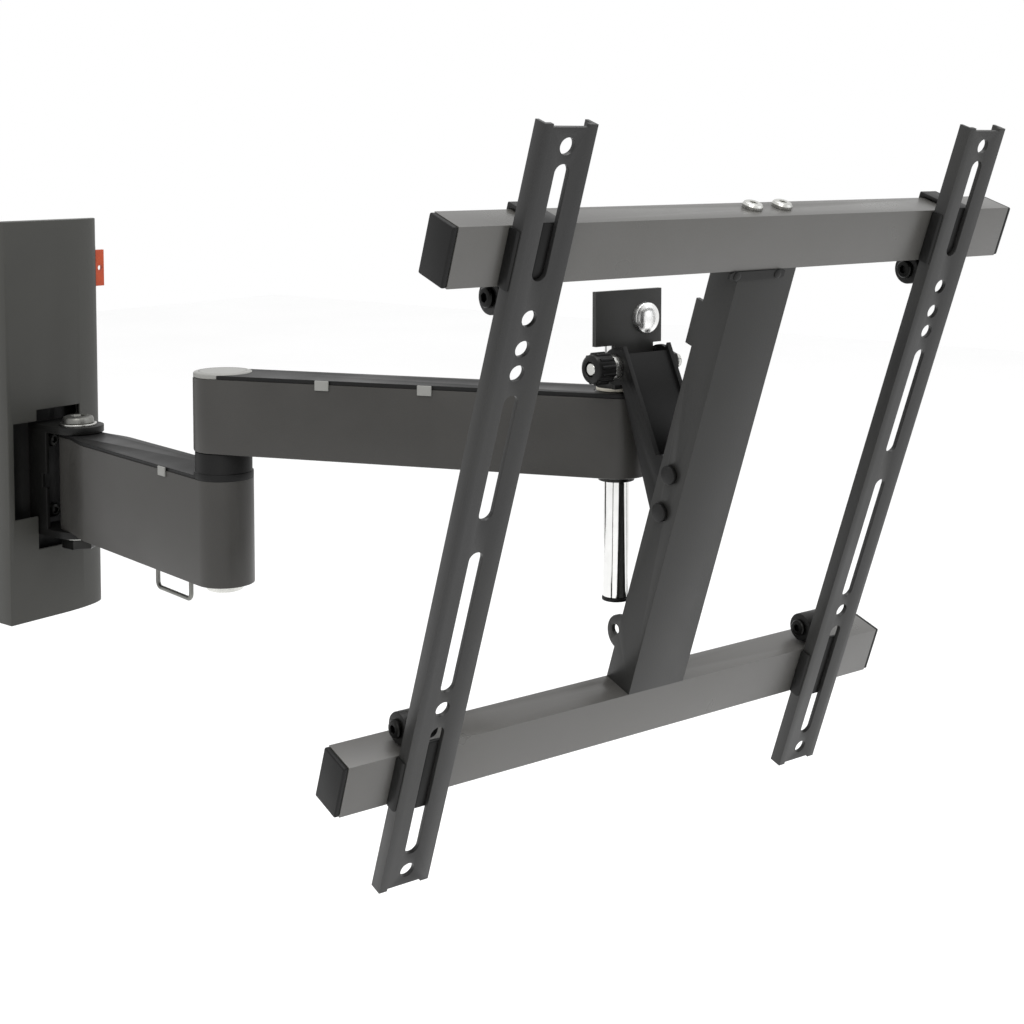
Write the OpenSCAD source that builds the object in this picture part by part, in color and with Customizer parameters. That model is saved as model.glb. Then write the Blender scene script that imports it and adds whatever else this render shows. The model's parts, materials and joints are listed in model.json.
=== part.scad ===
// Full motion television wall mount: a wall unit, two swinging arms, a tilting head and a
// two-bar frame that carries two sliding television strips.
// Millimetres, +Z up. The origin is the centre of the wall unit's back face. The wall is the
// plane y = 0 and the mount reaches towards -Y. X runs along the wall.

/* [Wall unit] */
// Width of the snap-on wall cover
cover_w = 88; // [80:1:110]
// Height of the snap-on wall cover
cover_h = 288; // [270:1:340]
// How far the cover's flat side stands off the wall
cover_d = 15; // [14:0.5:20]
// Thickness of the cover's wall
cover_t = 2; // [1.6:0.1:3]
// Thickness of the steel back plate
plate_t = 3; // [2.5:0.1:4]
// Distance between the two columns of wall screw holes
wall_holes_x = 56; // [50:1:62]
// Distance between the top and bottom wall screw holes
wall_holes_z = 264; // [256:1:268]
// Diameter of the wall screw holes
wall_hole_d = 8.5; // [6:0.5:10]

/* [Arms] */
// Distance between the pivots of the arm next to the wall
lower_len = 202; // [160:1:260]
// Distance between the pivots of the arm next to the television
upper_len = 254; // [200:1:320]
// Thickness of both arms
arm_w = 37.2; // [34:0.1:46]
// Height of the arm next to the wall
lower_h = 69; // [60:1:86]
// Height of the arm next to the television
upper_h = 49; // [44:1:58]
// Height of the collar between the two arms
collar_h = 15; // [10:1:20]
// Wall thickness of the arm tubes
arm_t = 3; // [2.5:0.1:4]
// Diameter of the wall pivot bolt
wall_pin_d = 14; // [12:0.5:16]
// Diameter of the elbow pin
elbow_pin_d = 16; // [12:0.5:18]

/* [Head] */
// Diameter of the swivel post
post_d = 15; // [12:0.5:18]
// Length of the swivel post below the arm
post_drop = 72; // [30:1:80]
// Width of the upright head plate
head_w = 50; // [46:1:60]
// Height of the tilt axis above the arm
tilt_rise = 16; // [13:0.5:18]
// Diameter of the tilt bolt
tilt_bolt_d = 8; // [6:0.5:8]

/* [Television frame] */
// Length of the two bars
bar_len = 398; // [360:1:460]
// Height of a bar
bar_h = 30; // [26:0.5:36]
// Depth of a bar
bar_d = 20; // [18:0.5:26]
// Wall thickness of a bar
bar_t = 2; // [1.5:0.1:3]
// Distance between the middles of the two bars
bar_gap = 289; // [250:1:320]
// Width of the spine channel
spine_w = 42; // [42:0.5:50]
// Sideways offset of the frame from the swivel post
frame_shift = 4; // [0:0.5:6]
// Sideways offset of the bars from the middle of the spine
bar_shift = -8; // [-12:1:12]
// Distance from the tilt axis to the front of the bars
axis_back = 75; // [70:0.5:90]
// Height of the tilt axis above the middle of the frame
axis_up = 40; // [32:0.5:46]

/* [Television strips] */
// Length of a strip
strip_len = 421; // [414:1:460]
// Width of a strip
strip_w = 31; // [28:0.5:36]
// Depth of a strip
strip_d = 7.6; // [7:0.1:10]
// Sheet thickness of a strip
strip_t = 2.5; // [2:0.1:3]
// Distance of the left strip from the spine
left_at = 162; // [60:1:180]
// Distance of the right strip from the spine
right_at = 138; // [60:1:170]
// Distance between the two end holes of a strip
hole_span = 400; // [400:1:440]
// Diameter of the round television holes
tv_hole_d = 8.5; // [6:0.5:9]
// Width of the television slots
slot_w = 8.5; // [6:0.5:9]

/* [Pose as built] */
// Angle of the wall-side arm from straight out
lower_turn = -11.5; // [-60:0.5:60]
// Angle of the television-side arm from straight out
upper_turn = 20; // [-60:1:60]
// Angle of the head from straight out
head_turn = -14; // [-60:0.5:60]
// Forward tilt of the frame
tilt = 19; // [0:1:20]

/* [Hidden] */
$fn = 48;
// Clearances: a running fit on a shaft, a seat in the same piece, and open air between movers
run = 0.06;
seat = 0.02;
air = 0.4;
// Wall unit
rim_gap = 0.4;
plate_w = cover_w - 2 * (cover_t + rim_gap);
plate_h = cover_h - 2 * (cover_t + rim_gap);
ear_t = 5;
ear_r = 18;
pivot_y = -(cover_d + 22);
bracket_w = 36;
bracket_t = 3;
lower_top = -7.6;
lower_bot = lower_top - lower_h;
nut_h = 9;
// Arms
arm_r = arm_w / 2;
lid_t = 2.4;
upper_bot = lower_top + collar_h;
upper_top = upper_bot + upper_h;
neck_len = 46;
neck_r = 13.5;
bush_wall = 2;
boss_r = 13;
elbow = [lower_len * sin(lower_turn), pivot_y - lower_len * cos(lower_turn), 0];
post_at = elbow + [upper_len * sin(upper_turn), -upper_len * cos(upper_turn), 0];
// Head
post_r = post_d / 2;
head_foot = upper_top + 2.2;
head_top = head_foot + 56.5;
head_t = 3;
tilt_z = upper_top + tilt_rise;
barrel_r = 6;
barrel_sunk = 1.5;
tilt_y = -(post_r + head_t + barrel_r - barrel_sunk);
cheek_t = 3;
// Frame
spine_t = 2.5;
spine_half = (bar_gap - bar_h) / 2;
spine_in = spine_w / 2 - spine_t;
cheek_out = spine_in - 0.2;
neck_half = cheek_out - cheek_t - 0.6;
lug_r = 10.5;
bar_bolt_x = 11;
bar_bolt_y = 12;
brace_bolts = [[11, 5], [11, -18]];
// Strips
strip_gap = 0.4;
slots = [[134.4, 191.6], [8.6, 76], [-90, -9], [-189.4, -110.8]];
extra_holes = [115.5, 100, 87.4, -100];
hook_t = 2.5;
hook_w = 14;
jaw_r = 8.5;
steel_black = "#1c1c1c";
paint_grey = "#4c4b48";
bar_grey = "#64625e";

// Local frames. In an arm's frame +X runs from its inner pivot to its outer pivot.
module at_lower() {
  translate([0, pivot_y, 0])
    rotate([0, 0, lower_turn - 90])
      children();
}
module at_upper() {
  translate(elbow)
    rotate([0, 0, upper_turn - 90])
      children();
}
// In the head's frame -Y faces the television and the post stands on the origin.
module at_head() {
  translate(post_at)
    rotate([0, 0, head_turn])
      children();
}
// In the frame's own frame y = 0 is the front of the bars and z = 0 is midway between them.
module at_frame() {
  at_head()
    translate([frame_shift, tilt_y, tilt_z])
      rotate([tilt, 0, 0])
        translate([0, -axis_back, -axis_up])
          children();
}
// Cylinder along X, centred on the origin.
module rod_x(d, len) {
  rotate([0, 90, 0])
    cylinder(d = d, h = len, center = true);
}
// Upright cylinder between two heights.
module disc(r, z0, z1) {
  translate([0, 0, z0])
    cylinder(r = r, h = z1 - z0);
}
module ring(r_out, r_in, z0, z1) {
  difference() {
    disc(r_out, z0, z1);
    disc(r_in, z0 - 1, z1 + 1);
  }
}
// Hexagon nut or bolt head between two heights.
module hexagon(across, z0, z1) {
  translate([0, 0, z0])
    cylinder(d = across / cos(30), h = z1 - z0, $fn = 6);
}
// Upright slot between two heights in the XZ plane, cut along Y.
module slot_y(w, z0, z1, y0, y1) {
  for (z = [z0 + w / 2, z1 - w / 2])
    translate([0, y0, z])
      rotate([-90, 0, 0])
        cylinder(d = w, h = y1 - y0);
  translate([-w / 2, y0, z0 + w / 2])
    cube([w, y1 - y0, z1 - z0 - w]);
}
module hole_y(d, z, y0, y1) {
  translate([0, y0, z])
    rotate([-90, 0, 0])
      cylinder(d = d, h = y1 - y0);
}

// ---- Wall unit ----
module wall_back_plate() {
  color(steel_black)
    difference() {
      translate([-plate_w / 2, -plate_t, -plate_h / 2])
        cube([plate_w, plate_t, plate_h]);
      for (x = [-1, 1], z = [-1, 1])
        translate([x * wall_holes_x / 2, 0, 0])
          hole_y(wall_hole_d, z * wall_holes_z / 2, -plate_t - 1, 1);
      for (z = bolt_rows)
        hole_y(6 + 2 * seat, z, -plate_t - 1, 1);
      translate([plate_w / 2 - level_in - 1, -plate_t - 1, level_z - 1])
        cube([level_in + 2, plate_t + 2, level_h + 2]);
    }
}
bolt_rows = [lower_bot + 8.5, lower_top - 8.5];
// The cover's plan outline: flat on the left half, falling to the wall in a long curve on the
// right half. `in` moves the outline inwards by the wall thickness.
fall_from = 1.5;
fall_d = cover_d - 2;
function fall(a, in) =
  [fall_from + (cover_w / 2 - fall_from - in) * sin(a), -(2 + (fall_d - in) * cos(a))];
function cover_outline(in) = concat(
  [[-cover_w / 2 + in, 0.01 - (in > 0 ? 0 : 0.01)], [-cover_w / 2 + in, -cover_d + in]],
  [for (a = [0:9:90]) fall(a, in)],
  [[cover_w / 2 - in, 0]]
);
module wall_cover() {
  color(paint_grey)
    difference() {
      translate([0, 0, -cover_h / 2])
        linear_extrude(cover_h)
          polygon(cover_outline(0));
      translate([0, 0.02, -cover_h / 2 + cover_t])
        linear_extrude(cover_h - 2 * cover_t)
          polygon(cover_outline(cover_t));
      // Window for the hinge bracket, and its wider part beside the arm
      translate([-bracket_w / 2 - 1.2, -cover_d - 1, lower_bot - ear_t - nut_h - 2])
        cube([bracket_w + 2.4, cover_d + 2, lower_h + 2 * ear_t + 2 * nut_h + 4]);
      translate([-cover_w / 2 + 5, -cover_d - 1, lower_bot + 8])
        cube([cover_w / 2 - 5, cover_d + 2, lower_h]);
      // Notch for the level insert in the right side
      translate([cover_w / 2 - 12, -plate_t - 0.6, level_z - 0.6])
        cube([14, plate_t + 2, level_h + 1.2]);
    }
}
// Folded bracket: a web bolted to the back plate, two side cheeks with a notch, two round ears
module hinge_bracket() {
  y0 = -plate_t;
  top = lower_top + air + ear_t;
  bot = lower_bot - air - ear_t;
  mid = (top + bot) / 2;
  color(steel_black)
    difference() {
      union() {
        translate([-bracket_w / 2, y0 - bracket_t, bot])
          cube([bracket_w, bracket_t, top - bot]);
        for (z = [bot, top - ear_t]) {
          translate([-bracket_w / 2, pivot_y, z])
            cube([bracket_w, -pivot_y + y0, ear_t]);
          translate([0, pivot_y, z])
            cylinder(r = ear_r, h = ear_t);
        }
        for (x = [-bracket_w / 2, bracket_w / 2 - bracket_t])
          translate([x, -cover_d - 8, bot])
            cube([bracket_t, cover_d + 8 + y0, top - bot]);
      }
      translate([-bracket_w, -cover_d - 9, mid - 5])
        cube([2 * bracket_w, 6, 10]);
      translate([0, pivot_y, bot - 1])
        cylinder(d = wall_pin_d + 2 * seat, h = top - bot + 2);
      for (z = bolt_rows)
        hole_y(6 + 2 * seat, z, y0 - bracket_t - 1, y0 + 1);
    }
}
module hinge_bracket_bolts() {
  color("#3a3a3a")
    for (z = bolt_rows)
      translate([0, -plate_t - bracket_t, z])
        rotate([90, 0, 0]) {
          disc(5, 0, 3);
          disc(3, -plate_t - bracket_t + 0.3, 0);
        }
}
module wall_pivot_bolt() {
  color("#8d8d8b")
    translate([0, pivot_y, 0])
      difference() {
        union() {
          disc(wall_pin_d / 2, lower_bot - air - ear_t - nut_h, lower_top + air + ear_t + 1.5);
          disc(11, lower_top + air + ear_t + 1.5, lower_top + air + ear_t + 6.5);
        }
        hexagon(8, lower_top + air + ear_t + 3, lower_top + air + ear_t + 8);
      }
}
module wall_pivot_nut() {
  color(steel_black)
    translate([0, pivot_y, 0])
      difference() {
        hexagon(22, lower_bot - air - ear_t - nut_h, lower_bot - air - ear_t - 1.5);
        disc(wall_pin_d / 2 + seat, lower_bot - 40, lower_bot);
      }
}
module wall_pivot_washers() {
  color("#b9b9b5")
    translate([0, pivot_y, 0]) {
      ring(13, wall_pin_d / 2 + seat, lower_top + air + ear_t, lower_top + air + ear_t + 1.5);
      ring(13, wall_pin_d / 2 + seat, lower_bot - air - ear_t - 1.5, lower_bot - air - ear_t);
    }
}
// Spirit level that is pushed into the side of the wall unit and pulled out to level it
level_z = 93;
level_h = 27;
level_in = 20;
level_out = 8;
module level_insert() {
  color("#c5522c")
    difference() {
      translate([plate_w / 2 - level_in, -plate_t, level_z])
        cube([cover_w / 2 + level_out - plate_w / 2 + level_in, plate_t - 0.3, level_h]);
      translate([plate_w / 2 - level_in / 2, -plate_t - 1, level_z + 4])
        cube([5, plate_t + 2, level_h - 8]);
      translate([cover_w / 2 + level_out - 3.5, -plate_t - 1, level_z + level_h / 2])
        rotate([-90, 0, 0])
          cylinder(d = 4, h = plate_t + 2);
    }
}
module level_vial() {
  color("#b6d64a")
    translate([plate_w / 2 - level_in / 2 + 2.5, -plate_t / 2 - 0.15, level_z + level_h / 2])
      cylinder(d = 2.6, h = level_h - 8.4, center = true);
}

// ---- Arm next to the wall ----
// Half width of the wall-side arm at a distance from its pivot: a smooth neck, then full width
function smooth(t) = t <= 0 ? 0 : t >= 1 ? 1 : t * t * (3 - 2 * t);
function neck(x, in) = neck_r - in + (arm_r - neck_r) * smooth((x - 8) / (neck_len - 8));
function lower_outline(in) = concat(
  [for (a = [270:-15:90]) [(neck_r - in) * cos(a), (neck_r - in) * sin(a)]],
  [for (x = [8:4:neck_len]) [x, neck(x, in)]],
  [for (a = [90:-10:-90]) [lower_len + (arm_r - in) * cos(a), (arm_r - in) * sin(a)]],
  [for (x = [neck_len:-4:8]) [x, -neck(x, in)]]
);
module lower_arm_beam() {
  color(paint_grey)
    at_lower()
      difference() {
        union() {
          difference() {
            translate([0, 0, lower_bot])
              linear_extrude(lower_h - lid_t)
                polygon(lower_outline(0));
            translate([0, 0, lower_bot + arm_t])
              linear_extrude(lower_h)
                polygon(lower_outline(arm_t));
          }
          disc(neck_r - 1, lower_bot, lower_top);
          translate([lower_len, 0, 0])
            disc(boss_r, lower_bot, lower_top - lid_t);
        }
        disc(wall_pin_d / 2 + bush_wall + 2 * seat, lower_bot - 1, lower_top + 1);
        translate([lower_len, 0, 0])
          disc(elbow_pin_d / 2 + seat, lower_bot - 1, lower_top + 1);
      }
}
module lower_arm_lid() {
  color("#141414")
    at_lower()
      difference() {
        translate([0, 0, lower_top - lid_t])
          linear_extrude(lid_t)
            polygon(lower_outline(0.6));
        disc(neck_r - 0.9, lower_top - lid_t - 1, lower_top + 1);
        translate([lower_len, 0, 0])
          disc(arm_r + seat, lower_top - lid_t - 1, lower_top + 1);
      }
}
// Small clips that hook the lid over the tube's edge on the near side
clip_w = 9;
module lid_clips(places, top) {
  for (x = places)
    translate([x - clip_w / 2, -arm_r - 1.2, top - 6])
      cube([clip_w, 1.2, 6]);
}
module lower_arm_lid_clips() {
  color("#8f8f8b")
    at_lower()
      lid_clips([lower_len - 45], lower_top);
}
module flanged_bush(r_pin, z, up) {
  flange = 1.6;
  depth = 14;
  z0 = up > 0 ? z - depth : z;
  ring(r_pin + bush_wall, r_pin + run, z0, z0 + depth);
}
module lower_arm_bushes() {
  color("#d8d4c4")
    at_lower() {
      flanged_bush(wall_pin_d / 2, lower_top, 1);
      flanged_bush(wall_pin_d / 2, lower_bot, -1);
    }
}
module elbow_pin() {
  color("#8d8d8b")
    at_lower()
      translate([lower_len, 0, 0])
        disc(elbow_pin_d / 2, lower_bot - 2, upper_top - lid_t - 1);
}
module elbow_collar() {
  color("#101010")
    at_lower()
      translate([lower_len, 0, 0])
        union() {
          ring(arm_r, elbow_pin_d / 2 + seat, lower_top - lid_t, lower_top + 2);
          ring(arm_r - 0.8, elbow_pin_d / 2 + seat, lower_top + 2, upper_bot - air);
        }
}
module elbow_foot_nut() {
  color("#9b9b98")
    at_lower()
      translate([lower_len, 0, 0])
        difference() {
          disc(12, lower_bot - 5, lower_bot);
          disc(elbow_pin_d / 2 + seat, lower_bot - 2, lower_bot + 1);
        }
}
// Wire loop that holds the cables under the arm, and the saddle that it swings in
loop_w = 44;
loop_h = 17;
loop_wire = 3;
loop_x = lower_len - 65;
loop_bend = 4;
loop_drop = 3.5;
module cable_loop_saddle() {
  color("#161616")
    at_lower()
      difference() {
        translate([loop_x - 5, -4, lower_bot - loop_drop - 2.4])
          cube([10, 8, loop_drop + 2.4]);
        translate([loop_x, 0, lower_bot - loop_drop])
          rod_x(loop_wire + 2 * run, 20);
      }
}
module loop_corner(sx, sz) {
  translate([sx * (loop_w / 2 - loop_bend), 0, sz * (loop_h / 2 - loop_bend)])
    rotate([90, 0, 0])
      rotate([0, 0, sx > 0 ? (sz > 0 ? 0 : 270) : (sz > 0 ? 90 : 180)])
        rotate_extrude(angle = 90)
          translate([loop_bend, 0])
            circle(d = loop_wire, $fn = 24);
}
module cable_loop() {
  long = loop_w - 2 * loop_bend;
  tall = loop_h - 2 * loop_bend;
  color("#d5d5d2")
    at_lower()
      translate([loop_x, 0, lower_bot - loop_drop - loop_h / 2]) {
        for (s = [-1, 1]) {
          translate([0, 0, s * loop_h / 2])
            rod_x(loop_wire, long);
          translate([s * loop_w / 2, 0, 0])
            cylinder(d = loop_wire, h = tall, center = true);
          for (t = [-1, 1])
            loop_corner(s, t);
        }
      }
}

// ---- Arm next to the television ----
function upper_outline(in) = concat(
  [for (a = [270:-10:90]) [(arm_r - in) * cos(a), (arm_r - in) * sin(a)]],
  [for (a = [90:-10:-90]) [upper_len + (arm_r - in) * cos(a), (arm_r - in) * sin(a)]]
);
module upper_arm_beam() {
  color(paint_grey)
    at_upper()
      difference() {
        union() {
          difference() {
            translate([0, 0, upper_bot])
              linear_extrude(upper_h - lid_t)
                polygon(upper_outline(0));
            translate([0, 0, upper_bot + arm_t])
              linear_extrude(upper_h)
                polygon(upper_outline(arm_t));
          }
          disc(boss_r, upper_bot, upper_top - lid_t);
          translate([upper_len, 0, 0])
            disc(boss_r, upper_bot, upper_top);
        }
        disc(elbow_pin_d / 2 + bush_wall + seat, upper_bot - 1, upper_top + 1);
        translate([upper_len, 0, 0])
          disc(post_r + bush_wall + 2 * seat, upper_bot - 1, upper_top + 1);
      }
}
module upper_arm_lid() {
  color("#141414")
    at_upper()
      difference() {
        translate([0, 0, upper_top - lid_t])
          linear_extrude(lid_t)
            polygon(upper_outline(0.6));
        disc(arm_r + seat, upper_top - lid_t - 1, upper_top + 1);
        translate([upper_len, 0, 0])
          disc(boss_r + 2 * seat, upper_top - lid_t - 1, upper_top + 1);
      }
}
module upper_arm_lid_clips() {
  color("#8f8f8b")
    at_upper()
      lid_clips([upper_len * 0.3, upper_len * 0.56], upper_top);
}
module elbow_bushes() {
  color("#d8d4c4")
    at_upper() {
      flanged_bush(elbow_pin_d / 2, upper_bot, -1);
      flanged_bush(elbow_pin_d / 2, upper_top - lid_t - 1, 1);
    }
}
module elbow_top_cap() {
  color("#a9a9a6")
    at_upper()
      disc(arm_r - 0.3, upper_top - lid_t, upper_top + 0.8);
}
module post_bushes() {
  color("#d8d4c4")
    at_upper()
      translate([upper_len, 0, 0]) {
        flanged_bush(post_r, upper_bot, -1);
        flanged_bush(post_r, upper_top, 1);
      }
}

// ---- Head ----
module swivel_post() {
  color("#e6e6e4")
    at_head()
      ring(post_r, post_r - 2, upper_bot - post_drop, head_top - 2);
}
module post_end_cap() {
  color("#202020")
    at_head() {
      disc(post_r + 0.6, upper_bot - post_drop - 2, upper_bot - post_drop);
      disc(post_r - 2 - seat, upper_bot - post_drop, upper_bot - post_drop + 8);
    }
}
module post_retaining_ring() {
  color("#2b2b2b")
    at_head()
      ring(post_r + 3, post_r + seat, upper_bot - air - 3, upper_bot - air);
}
module head_thrust_washer() {
  color("#d8d4c4")
    at_head()
      ring(12, post_r + seat, upper_top + 0.3, head_foot);
}
// Upright plate with a hub around the post and a barrel for the tilt bolt. Below the full width
// the plate is a neck that fits between the tilt bracket's cheeks.
module head_bracket() {
  color("#33322f")
    at_head()
      difference() {
        union() {
          translate([-head_w / 2, -post_r - head_t, head_foot])
            cube([head_w, head_t, head_top - head_foot]);
          disc(12, head_foot, head_foot + 9);
          translate([frame_shift, tilt_y, tilt_z])
            rod_x(2 * barrel_r, 2 * neck_half);
        }
        for (s = [-1, 1])
          translate([frame_shift + (s > 0 ? neck_half : -head_w), -post_r - head_t - 1, head_foot - 1])
            cube([head_w - neck_half, head_t + 2, tilt_z + lug_r + 2 - head_foot]);
        disc(post_r + seat, head_foot - 1, head_top + 1);
        translate([frame_shift, tilt_y, tilt_z])
          rod_x(tilt_bolt_d + 2 * run, head_w);
      }
}
module stop_disc() {
  color("#e2e2e0")
    at_head()
      translate([12, -post_r - head_t, head_foot + 40])
        rotate([90, 0, 0]) {
          disc(9, 0, 3);
          disc(7, 3, 5);
        }
}

// ---- Tilting frame ----
// Side profile of a tilt cheek in the frame's YZ plane: a lug around the tilt axis and a strut
// that runs down into the spine. Its back corner keeps the strut in front of the arm.
axis_at = [axis_back, axis_up];
strut_top = axis_at + [-2, lug_r + 3];
strut_knee = [28, 8];
strut_foot = [[bar_d - 2, 12], [spine_t + 1.5, 12], [spine_t + 1.5, -28], [bar_d - 2, -28]];
strut_back = axis_at + [-9, -8];
web_t = 2.5;
module yz_sheet(x0, x1) {
  translate([x0, 0, 0])
    rotate([90, 0, 90])
      linear_extrude(x1 - x0)
        children();
}
module cheek_shape() {
  translate(axis_at)
    circle(r = lug_r);
  polygon(concat([axis_at, strut_top, strut_knee], strut_foot, [strut_back]));
}
// Web that ties the two cheeks together, a little behind their front edges
web_run = (strut_top - strut_knee) / norm(strut_top - strut_knee);
web_side = [web_run[1], -web_run[0]];
web_in = 1.5;
module web_shape() {
  top = strut_top + web_in * web_side - 4 * web_run;
  foot = strut_knee + web_in * web_side;
  polygon([top, foot, foot + web_t * web_side, top + web_t * web_side]);
}
module tilt_bracket() {
  color("#1f1f1e")
    at_frame()
      difference() {
        union() {
          for (x = [-cheek_out, cheek_out - cheek_t])
            yz_sheet(x, x + cheek_t)
              cheek_shape();
          yz_sheet(-cheek_out + cheek_t / 2, cheek_out - cheek_t / 2)
            web_shape();
        }
        translate([0, axis_back, axis_up])
          rod_x(tilt_bolt_d + 2 * seat, 2 * spine_w);
        for (b = brace_bolts)
          translate([0, b[0], b[1]])
            rod_x(6 + 2 * seat, 2 * spine_w);
      }
}
module tilt_bolt() {
  x0 = -cheek_out - knob_spacer - air - knob_h + 1;
  x1 = cheek_out + 12;
  color("#7f7f7c")
    at_frame()
      translate([(x0 + x1) / 2, axis_back, axis_up])
        rod_x(tilt_bolt_d, x1 - x0);
}
module tilt_nut() {
  color("#2a2a2a")
    at_frame()
      translate([cheek_out + 1.5, axis_back, axis_up])
        rotate([0, 90, 0])
          difference() {
            hexagon(13, 0, 6.5);
            disc(tilt_bolt_d / 2 + seat, -1, 8);
          }
}
module tilt_spacers() {
  color("#bcbcb8")
    at_frame()
      translate([0, axis_back, axis_up])
        rotate([0, 90, 0]) {
          ring(8, tilt_bolt_d / 2 + seat, cheek_out, cheek_out + 1.5);
          ring(7, tilt_bolt_d / 2 + seat, -cheek_out - knob_spacer, -cheek_out);
        }
}
// Lobed knob that clamps the tilt
knob_h = 14;
knob_r = 8.5;
knob_spacer = 5;
module tilt_knob() {
  color("#171717")
    at_frame()
      translate([-cheek_out - knob_spacer - air, axis_back, axis_up])
        rotate([0, -90, 0])
          difference() {
            union() {
              disc(knob_r, 0, knob_h);
              for (a = [0:60:300])
                rotate([0, 0, a])
                  translate([knob_r - 1, 0, 0])
                    disc(2, 0, knob_h);
            }
            disc(tilt_bolt_d / 2 + run, -1, knob_h + 1);
          }
}
module bar_tube() {
  difference() {
    translate([bar_shift - bar_len / 2, 0, -bar_h / 2])
      cube([bar_len, bar_d, bar_h]);
    translate([bar_shift - bar_len / 2 - 1, bar_t, -bar_h / 2 + bar_t])
      cube([bar_len + 2, bar_d - 2 * bar_t, bar_h - 2 * bar_t]);
    for (x = [-bar_bolt_x, bar_bolt_x])
      translate([x, bar_bolt_y, 0])
        cylinder(d = 6 + 2 * seat, h = bar_h + 2, center = true);
  }
}
module top_bar() {
  color(bar_grey)
    at_frame()
      translate([0, 0, bar_gap / 2])
        bar_tube();
}
module bottom_bar() {
  color(bar_grey)
    at_frame()
      translate([0, 0, -bar_gap / 2])
        bar_tube();
}
module bar_end_caps() {
  plug = 9;
  color("#1a1a1a")
    at_frame()
      for (s = [-1, 1], v = [-1, 1])
        translate([bar_shift + s * bar_len / 2, 0, v * bar_gap / 2]) {
          translate([s > 0 ? 0 : -3, 0.2, -bar_h / 2 + 0.2])
            cube([3, bar_d - 0.4, bar_h - 0.4]);
          translate([s > 0 ? -plug : 0, bar_t + seat, -bar_h / 2 + bar_t + seat])
            cube([plug, bar_d - 2 * (bar_t + seat), bar_h - 2 * (bar_t + seat)]);
        }
}
module bar_bolts() {
  color("#8a8a87")
    at_frame()
      for (s = [-1, 1], v = [-1, 1])
        translate([s * bar_bolt_x, bar_bolt_y, v * bar_gap / 2])
          rotate([v > 0 ? 0 : 180, 0, 0]) {
            disc(3, -bar_h / 2 - spine_t - 6, bar_h / 2);
            disc(5.5, bar_h / 2, bar_h / 2 + 3.4);
          }
}
module bar_nuts() {
  color("#262626")
    at_frame()
      for (s = [-1, 1], v = [-1, 1])
        translate([s * bar_bolt_x, bar_bolt_y, v * bar_gap / 2])
          rotate([v > 0 ? 0 : 180, 0, 0])
            difference() {
              hexagon(10, -bar_h / 2 - spine_t - 5, -bar_h / 2 - spine_t);
              disc(3 + seat, -bar_h / 2 - spine_t - 6, -bar_h / 2);
            }
}
// Folded channel between the bars, with end tabs, two upper lugs and two lower lugs
module spine_channel() {
  lug_low = -100;
  color("#4a4947")
    at_frame()
      difference() {
        union() {
          translate([-spine_w / 2, 0, -spine_half])
            cube([spine_w, spine_t, 2 * spine_half]);
          for (x = [-spine_w / 2, spine_in]) {
            translate([x, 0, -spine_half])
              cube([spine_t, bar_d, 2 * spine_half]);
            translate([x, bar_d - 1, 78])
              cube([spine_t, 6, 26]);
            translate([x + spine_t / 2, bar_d - 1, lug_low])
              rod_x(20, spine_t);
          }
          for (z = [-spine_half, spine_half - spine_t])
            translate([-spine_in, 0, z])
              cube([2 * spine_in, bar_d, spine_t]);
        }
        translate([0, bar_d + 2.5, lug_low])
          rod_x(6, 2 * spine_w);
        for (b = brace_bolts)
          translate([0, b[0], b[1]])
            rod_x(6 + 2 * seat, 2 * spine_w);
        for (x = [-bar_bolt_x, bar_bolt_x])
          translate([x, bar_bolt_y, 0])
            cylinder(d = 6 + 2 * seat, h = 2 * spine_half + 2, center = true);
      }
}
module brace_bolts() {
  color("#111111")
    at_frame()
      for (b = brace_bolts)
        translate([0, b[0], b[1]]) {
          rod_x(6, spine_w);
          translate([-spine_w / 2 - 1.5, 0, 0])
            rod_x(10.5, 3);
          translate([spine_w / 2 + 1.5, 0, 0])
            rod_x(10.5, 3);
        }
}

// ---- Television strips ----
strip_front = -strip_gap - strip_d;
module at_strip(x) {
  at_frame()
    translate([x, 0, 0])
      children();
}
module strip() {
  y0 = strip_front;
  flange = 2;
  difference() {
    translate([-strip_w / 2, y0, -strip_len / 2])
      cube([strip_w, strip_d, strip_len]);
    translate([-strip_w / 2 + flange, y0 + strip_t, -strip_len / 2 - 1])
      cube([strip_w - 2 * flange, strip_d, strip_len + 2]);
    for (z = [-1, 1])
      hole_y(tv_hole_d, z * hole_span / 2, y0 - 1, y0 + strip_t + 1);
    for (z = extra_holes)
      hole_y(tv_hole_d, z, y0 - 1, y0 + strip_t + 1);
    for (s = slots)
      slot_y(slot_w, s[0], s[1], y0 - 1, y0 + strip_t + 1);
    for (s = [-1, 1])
      translate([-strip_w / 2 + 5, y0 - 1, s * strip_len / 2 - 1.5])
        cube([strip_w - 10, strip_d + 2, 3]);
  }
}
// Each strip holds both bars from their outer edges. What follows is made for the top bar, and
// a mirrored copy serves the bottom bar.
hook_x = 5;
bar_out = bar_gap / 2 + bar_h / 2;
bar_in = bar_gap / 2 - bar_h / 2;
plate_y = strip_front + strip_t;
hook_plate = 38;
jaw_y = 9;
jaw_z = bar_in - jaw_r - 1;
jaw_w = 20;
block_w = strip_w / 2 - 3 + hook_x - hook_w / 2 - 0.3;
jaw_x = -(strip_w / 2 - 3);
module both_bars() {
  for (m = [0, 1])
    mirror([0, 0, m])
      children();
}
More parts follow.
